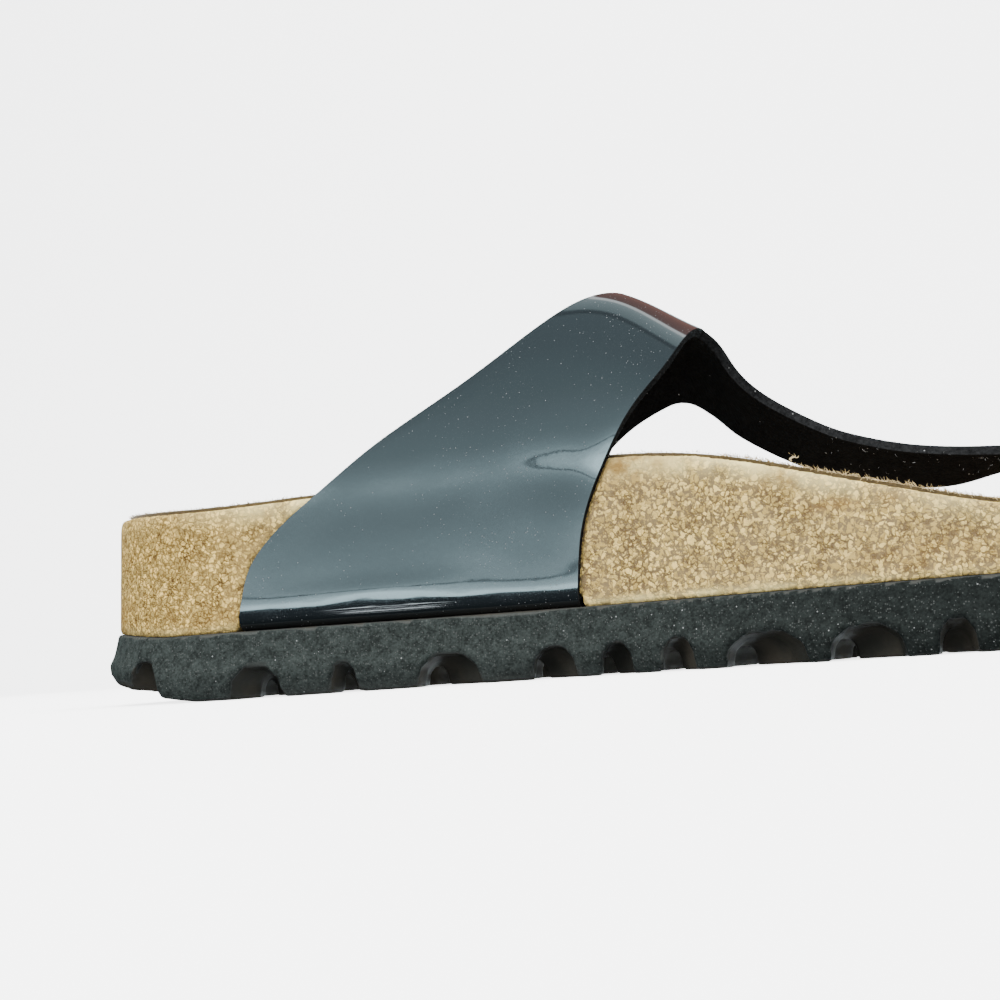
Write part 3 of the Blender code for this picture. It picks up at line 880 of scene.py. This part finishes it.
def strand_mesh(strands, seed):
    """Flat tapered strands through their points."""
    luck = random.Random(seed)
    made = bmesh.new()
    for points, width in strands:
        side = (points[-1] - points[0]).cross(any_way(luck)).normalized()
        before = None
        for number, point in enumerate(points):
            half = side * width / 2 * (1 - STRAND_TAPER * number / (len(points) - 1))
            pair = made.verts.new(point - half), made.verts.new(point + half)
            if before:
                made.faces.new((before[0], before[1], pair[1], pair[0]))
            before = pair
    return made


def crease_sharp_edges(made, degrees, sharpness=1.0):
    layer = made.edges.layers.float.get("crease_edge") or made.edges.layers.float.new("crease_edge")
    for edge in made.edges:
        if len(edge.link_faces) == 2 and edge.calc_face_angle() > math.radians(degrees):
            edge[layer] = sharpness


def subdivide(piece, levels):
    change = piece.modifiers.new("fine", "SUBSURF")
    change.levels = levels
    change.render_levels = levels
    apply_modifiers(piece)


PATENT, LINING, CUT_EDGE = range(3)
LINING_LINT = 0.05
EDGE_LINT = 0.25
STRAP_CORE = Vector((0.0, 0.004, 0.030))
CUT_ANGLE = 50
Strands = namedtuple("Strands", "face start count longest width lift curl joints spread")
FUZZ = Strands(CUT_EDGE, -90.0, 4200, 0.7, 0.09, 0.8, 0.5, 2, 100.0)
LINT = Strands(LINING, 38.0, 90, 1.5, 0.08, 0.35, 0.9, 5, 1.6)
STRAND_SHORTEST = 0.3
STRAND_SET = 0.05
CREST_STEP = 0.002
Crease = namedtuple("Crease", "x z length height depth slant")
CREASES = (
    Crease(-16.0, 40.6, 10.0, 5.2, 0.085, -0.08),
    Crease(-6.0, 39.6, 13.0, 5.6, 0.10, 0.0),
    Crease(-42.0, 37.5, 34.0, 5.0, 0.05, 0.05),
    Crease(-40.0, 48.0, 36.0, 5.0, -0.06, 0.10),
    Crease(-55.0, 21.0, 16.0, 2.2, -0.04, 0.03),
    Crease(-18.0, 15.0, 14.0, 3.6, -0.06, 0.0),
    Crease(-18.0, 62.0, 16.0, 6.0, 0.12, 0.5),
)
CREASE_FADES = (0.0, -8.0)
STRAP_SINK = 0.27
SINK_BAND = (21.0, 16.5)
WOBBLE = 0.03
WOBBLE_SCALE = 90.0


class SANDAL_OT_upper(bpy.types.Operator):
    """Patent strap with felt lining and raw cut edges"""

    bl_idname = "sandal.upper"
    bl_label = "Strap"

    def execute(self, context):
        made = quad_mesh("upper")
        self.sort_faces(made)
        crease_sharp_edges(made, CUT_ANGLE)
        piece = link_mesh("patent_strap", made)
        subdivide(piece, sizes().strap_levels)
        self.press_creases(piece.data)
        piece.data.shade_smooth()
        self.part_finishes(piece.data)
        tint = colours()
        finishes = (material_once("patent_finish", patent_material),
                    material_once("strap_felt", felt_material, "strap_felt", tint.lining, LINING_LINT),
                    material_once("strap_edge", felt_material, "strap_edge", tint.cut_edge, EDGE_LINT))
        finish_piece(piece, "upper", "strap_patent", *finishes)
        self.add_strands("strap_fuzz", piece.data, FUZZ, finishes[CUT_EDGE])
        self.add_strands("strap_lint", piece.data, LINT,
                         material_once("lint_finish", suede_material, "lint_finish", tint.dust))
        return {"FINISHED"}

    def part_finishes(self, mesh):
        """Crisp shading where the patent meets the cut edge."""
        finishes = {}
        for face in mesh.polygons:
            for pair in face.edge_keys:
                finishes.setdefault(pair, set()).add(face.material_index)
        for edge in mesh.edges:
            edge.use_edge_sharp = len(finishes[edge.key]) > 1

    def add_strands(self, name, mesh, kind, material):
        """Loose fibres on the lining or the cut edges."""
        luck = random.Random(kind.count)
        roots = [(face.center.copy(), face.normal.copy()) for face in mesh.polygons
                 if face.material_index == kind.face and face.center.x > kind.start * MM]
        crest = {}
        for root, out in roots:
            station = int(root.x / CREST_STEP)
            crest[station] = max(crest.get(station, 0.0), root.z)
        drops = [root.z - crest[int(root.x / CREST_STEP)] for root, out in roots]
        weights = [math.exp(drop / (kind.spread * MM)) for drop in drops]
        strands = []
        for root, out in luck.choices(roots, weights=weights, k=kind.count):
            reach = kind.longest * MM * luck.uniform(STRAND_SHORTEST, 1.0)
            points = [root - out * STRAND_SET * MM]
            way = (out * kind.lift + any_way(luck)).normalized()
            for step in range(kind.joints):
                points.append(points[-1] + way * reach / kind.joints)
                way = (way + any_way(luck) * kind.curl).normalized()
            strands.append((points, kind.width * MM))
        finish_piece(link_mesh(name, strand_mesh(strands, kind.count)), "upper", "strap_patent", material)

    def press_creases(self, mesh):
        """Soft troughs and ridges on the inner arm, and a slight waviness all over."""
        places = coordinates(mesh)
        x, z = places[:, 0] / MM, places[:, 2] / MM
        depth = np.array([WOBBLE * noise(Vector(place) * WOBBLE_SCALE) for place in places])
        inner = ease(*CREASE_FADES, places[:, 1] / MM)
        for crease in CREASES:
            run = (x - crease.x) / crease.length
            rise = (z - crease.z - crease.slant * (x - crease.x)) / crease.height
            depth += inner * crease.depth * np.exp(-run * run - rise * rise)
        places[:, 1] += depth * MM
        places[:, 2] -= STRAP_SINK * MM * ease(*SINK_BAND, z)
        set_coordinates(mesh, places)

    def sort_faces(self, made):
        """Give outer face, lining and cut edges their own material, parted at the sharp edges."""
        made.faces.ensure_lookup_table()
        waiting = set(made.faces)
        regions = []
        while waiting:
            region = [waiting.pop()]
            for face in region:
                for edge in face.edges:
                    if edge.calc_face_angle(0.0) > math.radians(CUT_ANGLE):
                        continue
                    for other in edge.link_faces:
                        if other in waiting:
                            waiting.remove(other)
                            region.append(other)
            regions.append(region)
        regions.sort(key=lambda region: -sum(face.calc_area() for face in region))
        if len(regions) < 3:
            raise RuntimeError("the strap's solid has no cut edge")
        for number, region in enumerate(regions):
            outward = sum(face.normal.dot(face.calc_center_median() - STRAP_CORE) * face.calc_area()
                          for face in region)
            broad = PATENT if outward > 0 else LINING
            for face in region:
                face.material_index = CUT_EDGE if number > 1 else broad


POST_ANGLE = 55
POST_LEVELS = 2
POST_LINT = 0.05


class SANDAL_OT_toe_post(bpy.types.Operator):
    """Toe post, waisted and rounded"""

    bl_idname = "sandal.toe_post"
    bl_label = "Toe post"

    def execute(self, context):
        made = quad_mesh("toe_post")
        crease_sharp_edges(made, POST_ANGLE)
        piece = link_mesh("post", made)
        subdivide(piece, POST_LEVELS)
        piece.data.shade_smooth()
        finish_piece(piece, "toe_post", "post_felt",
                     material_once("post_finish", felt_material, "post_finish", colours().lining, POST_LINT))
        return {"FINISHED"}


# Stage

FRAMED_STATION = Vector((-0.02724, -0.02905, 0.0))
SENSOR = 36.0
NEAREST = 0.01
EVEN_SKY = (0.94, 0.97, 1.0)
EVEN_STRENGTH = 0.7
MIRRORED = (
    (0.0, 0.004), (0.044, 0.004), (0.056, 1.9), (0.090, 2.0), (0.108, 1.0), (0.128, 0.72), (0.140, 0.58),
    (0.152, 0.46), (0.185, 0.36), (0.23, 0.30), (0.5, 0.20), (0.75, 0.143), (1.0, 0.106),
)
RIDGE_BANDS = (
    (-0.13, (0.073, 0.099, 0.106)), (-0.09, (0.028, 0.037, 0.040)), (-0.03, (0.030, 0.040, 0.044)),
    (0.02, (0.15, 0.20, 0.21)), (0.36, (0.19, 0.24, 0.25)), (0.40, (0.46, 0.50, 0.51)),
    (0.46, (0.46, 0.50, 0.51)), (0.50, (0.080, 0.040, 0.032)), (0.95, (0.060, 0.030, 0.025)),
)
MIRRORED_TINT = (0.66, 0.92, 1.0)
MIRRORED_STRENGTH = 4.6
SKYLINE = Wander(5.0, 4.0, 0.018)
SKYLINE_FINE = Wander(120.0, 3.0, 0.010)
HILLS = Wander(14.0, 5.0, 0.15)
HILLS_FADE = (0.115, 0.07)
HORIZON = 0.130
HORIZON_WIDTH = (0.0034, 0.0016)
HORIZON_DARK = (0.03, 0.04, 0.045)
RIDGE_RISES = (0.28, 0.42)
RIDGE_BEHIND = (-0.20, -0.13)
GLINT = (1.7, 1.9, 2.0)
GLINT_SPOTS = Cloud(22.0, 2.0, 0.55, 0.60)
GLINT_LOWEST = (-0.80, -0.65)
GLINT_HIGHEST = (-0.02, -0.08)
GLINT_SIDE = (-0.16, -0.12)
FLOOR_MATTE = {"Roughness": 0.9, "Specular IOR Level": 0.1}
FLOOR_HALF = 6.0
FLOOR_GLOW = 3.5
BACKDROP_Y = 1.6
BACKDROP_RADIUS = 0.8
BACKDROP_STEPS = 12
BACKDROP_HEIGHT = 2.5
Lamp = namedtuple("Lamp", "name place aim size power")
LAMPS = (
    Lamp("overhead", (0.05, -0.1, 1.2), (0.0, 0.0, 0.03), (1.6, 1.4), 40.0),
    Lamp("front", (-0.35, -1.4, 0.8), (0.0, 0.0, 0.03), (1.8, 1.0), 46.0),
    Lamp("backdrop", (0.0, 0.7, 1.5), (0.0, 2.3, 0.4), (2.4, 0.8), 60.0),
)


class SANDAL_OT_stage(bpy.types.Operator):
    """Pale floor, soft studio light and the camera"""

    bl_idname = "sandal.stage"
    bl_label = "Stage"

    def execute(self, context):
        self.add_floor()
        self.add_world()
        for kind in LAMPS:
            self.add_light(kind)
        self.add_camera(context)
        return {"FINISHED"}

    def add_floor(self):
        """Floor that sweeps up behind the sandal."""
        profile = [(-FLOOR_HALF, 0.0), (BACKDROP_Y, 0.0)]
        for step in range(1, BACKDROP_STEPS + 1):
            angle = math.pi / 2 * step / BACKDROP_STEPS
            profile.append((BACKDROP_Y + BACKDROP_RADIUS * math.sin(angle),
                            BACKDROP_RADIUS * (1 - math.cos(angle))))
        profile.append((BACKDROP_Y + BACKDROP_RADIUS, BACKDROP_HEIGHT))
        made = bmesh.new()
        rows = [[made.verts.new((x, y, z)) for x in (-FLOOR_HALF, FLOOR_HALF)] for y, z in profile]
        for low, high in zip(rows, rows[1:]):
            made.faces.new((low[0], low[1], high[1], high[0]))
        floor = link_mesh("floor", made)
        floor.data.shade_smooth()
        material, shader = plain_material("floor", FLOOR_MATTE)
        shader["Base Color"].default_value = rgba(colours().floor)
        shader["Emission Color"].default_value = rgba(colours().floor)
        shader["Emission Strength"].default_value = FLOOR_GLOW
        floor.data.materials.append(material)
        floor.visible_glossy = False
        floor.visible_diffuse = False

    def add_world(self):
        """Even surround for the light, and the bright low sky that the gloss mirrors."""
        world = bpy.data.worlds.new("studio")
        world.use_nodes = True
        bpy.context.scene.world = world
        graph = Graph(world.node_tree)
        even = world.node_tree.nodes["Background"]
        even.inputs["Color"].default_value = rgba(EVEN_SKY)
        even.inputs["Strength"].default_value = EVEN_STRENGTH
        direction = graph.add("ShaderNodeTexCoord").outputs["Generated"]
        sideways, behind, up = (graph.axis(direction, number) for number in range(3))
        ragged = graph.wander(direction, SKYLINE)
        fine = graph.wander(direction, SKYLINE_FINE)
        hills = graph.times(graph.wander(direction, HILLS), graph.fit(up, *HILLS_FADE))
        level = graph.math("ADD", graph.math("ADD", up, hills), graph.math("ADD", ragged, fine))
        rising = [(rise, [value * part for part in MIRRORED_TINT]) for rise, value in MIRRORED]
        sky = self.add_ramp(graph, level, rising)
        apart = graph.math("ABSOLUTE", graph.math("SUBTRACT", level, HORIZON))
        sky = graph.mix(graph.fit(apart, *HORIZON_WIDTH), sky, rgba(HORIZON_DARK))
        overhead = graph.times(graph.fit(up, *RIDGE_RISES), graph.fit(behind, *RIDGE_BEHIND))
        sky = graph.mix(overhead, sky, self.add_ramp(graph, behind, RIDGE_BANDS))
        low = graph.times(graph.fit(up, *GLINT_LOWEST), graph.fit(up, *GLINT_HIGHEST))
        low = graph.times(low, graph.fit(sideways, *GLINT_SIDE))
        low_spots = graph.times(graph.cloud(direction, GLINT_SPOTS), low)
        sky = graph.mix(low_spots, sky, rgba(GLINT))
        mirrored = graph.add("ShaderNodeBackground", {"Color": sky, "Strength": MIRRORED_STRENGTH})
        glossy = graph.add("ShaderNodeLightPath").outputs["Is Glossy Ray"]
        chosen = graph.add("ShaderNodeMixShader", {0: glossy, 1: even.outputs[0], 2: mirrored.outputs[0]})
        white = graph.add("ShaderNodeBackground", {"Color": rgba(colours().floor), "Strength": FLOOR_GLOW})
        seen = graph.add("ShaderNodeLightPath").outputs["Is Camera Ray"]
        chosen = graph.add("ShaderNodeMixShader", {0: seen, 1: chosen.outputs[0], 2: white.outputs[0]})
        graph.feed(world.node_tree.nodes["World Output"].inputs["Surface"], chosen.outputs[0])

    def add_ramp(self, graph, value, stops):
        """Colour by value, through the stops in order."""
        lowest, highest = stops[0][0], stops[-1][0]
        share = graph.add("ShaderNodeMapRange", {0: value, 1: lowest, 2: highest})
        ramp = graph.add("ShaderNodeValToRGB", {0: share.outputs[0]})
        while len(ramp.color_ramp.elements) < len(stops):
            ramp.color_ramp.elements.new(0.5)
        for element, (level, colour) in zip(ramp.color_ramp.elements, stops):
            element.position = (level - lowest) / (highest - lowest)
            element.color = rgba(colour)
        return ramp.outputs[0]

    def add_light(self, kind):
        light = bpy.data.lights.new(kind.name, "AREA")
        light.shape = "RECTANGLE"
        light.size, light.size_y = kind.size
        light.energy = kind.power
        lamp = bpy.data.objects.new(kind.name, light)
        lamp.location = kind.place
        lamp.visible_glossy = False
        lamp.rotation_euler = (Vector(kind.aim) - Vector(kind.place)).to_track_quat("-Z", "Y").to_euler()
        bpy.context.scene.collection.objects.link(lamp)

    def add_camera(self, context):
        settings = context.scene.sandal_stage
        data = bpy.data.cameras.new("camera")
        data.lens = settings.lens
        data.sensor_width = SENSOR
        data.clip_start = NEAREST
        camera = bpy.data.objects.new("camera", data)
        back = Vector((math.sin(settings.azimuth), -math.cos(settings.azimuth), 0.0))
        place = FRAMED_STATION + back * settings.distance
        place.z = settings.height
        turn = (Matrix.Rotation(settings.azimuth, 4, "Z")
                @ Matrix.Rotation(math.pi / 2 + settings.pitch, 4, "X")
                @ Matrix.Rotation(settings.roll, 4, "Z"))
        camera.matrix_world = Matrix.Translation(place) @ turn
        context.scene.collection.objects.link(camera)
        context.scene.camera = camera


class SANDAL_PT_panel(bpy.types.Panel):
    """Buttons for the sandal's pieces"""

    bl_idname = "SANDAL_PT_panel"
    bl_label = "Toe Post Sandal"
    bl_space_type = "VIEW_3D"
    bl_region_type = "UI"
    bl_category = "Sandal"

    def draw(self, context):
        for operator in PIECES:
            self.layout.operator(operator.bl_idname)


PIECES = (SANDAL_OT_stage, SANDAL_OT_outsole, SANDAL_OT_footbed, SANDAL_OT_insole, SANDAL_OT_upper,
          SANDAL_OT_toe_post)
GROUPS = (SandalSizes, SandalColours, StageSettings)


def register():
    for made in GROUPS + PIECES + (SANDAL_PT_panel,):
        bpy.utils.register_class(made)
    bpy.types.Scene.sandal_sizes = PointerProperty(type=SandalSizes)
    bpy.types.Scene.sandal_colours = PointerProperty(type=SandalColours)
    bpy.types.Scene.sandal_stage = PointerProperty(type=StageSettings)


def unregister():
    del bpy.types.Scene.sandal_stage
    del bpy.types.Scene.sandal_colours
    del bpy.types.Scene.sandal_sizes
    for made in reversed(GROUPS + PIECES + (SANDAL_PT_panel,)):
        bpy.utils.unregister_class(made)


def main():
    register()
    bpy.ops.sandal.stage()
    bpy.ops.sandal.outsole()
    bpy.ops.sandal.footbed()
    bpy.ops.sandal.insole()
    bpy.ops.sandal.upper()
    bpy.ops.sandal.toe_post()


if __name__ == "__main__":
    main()
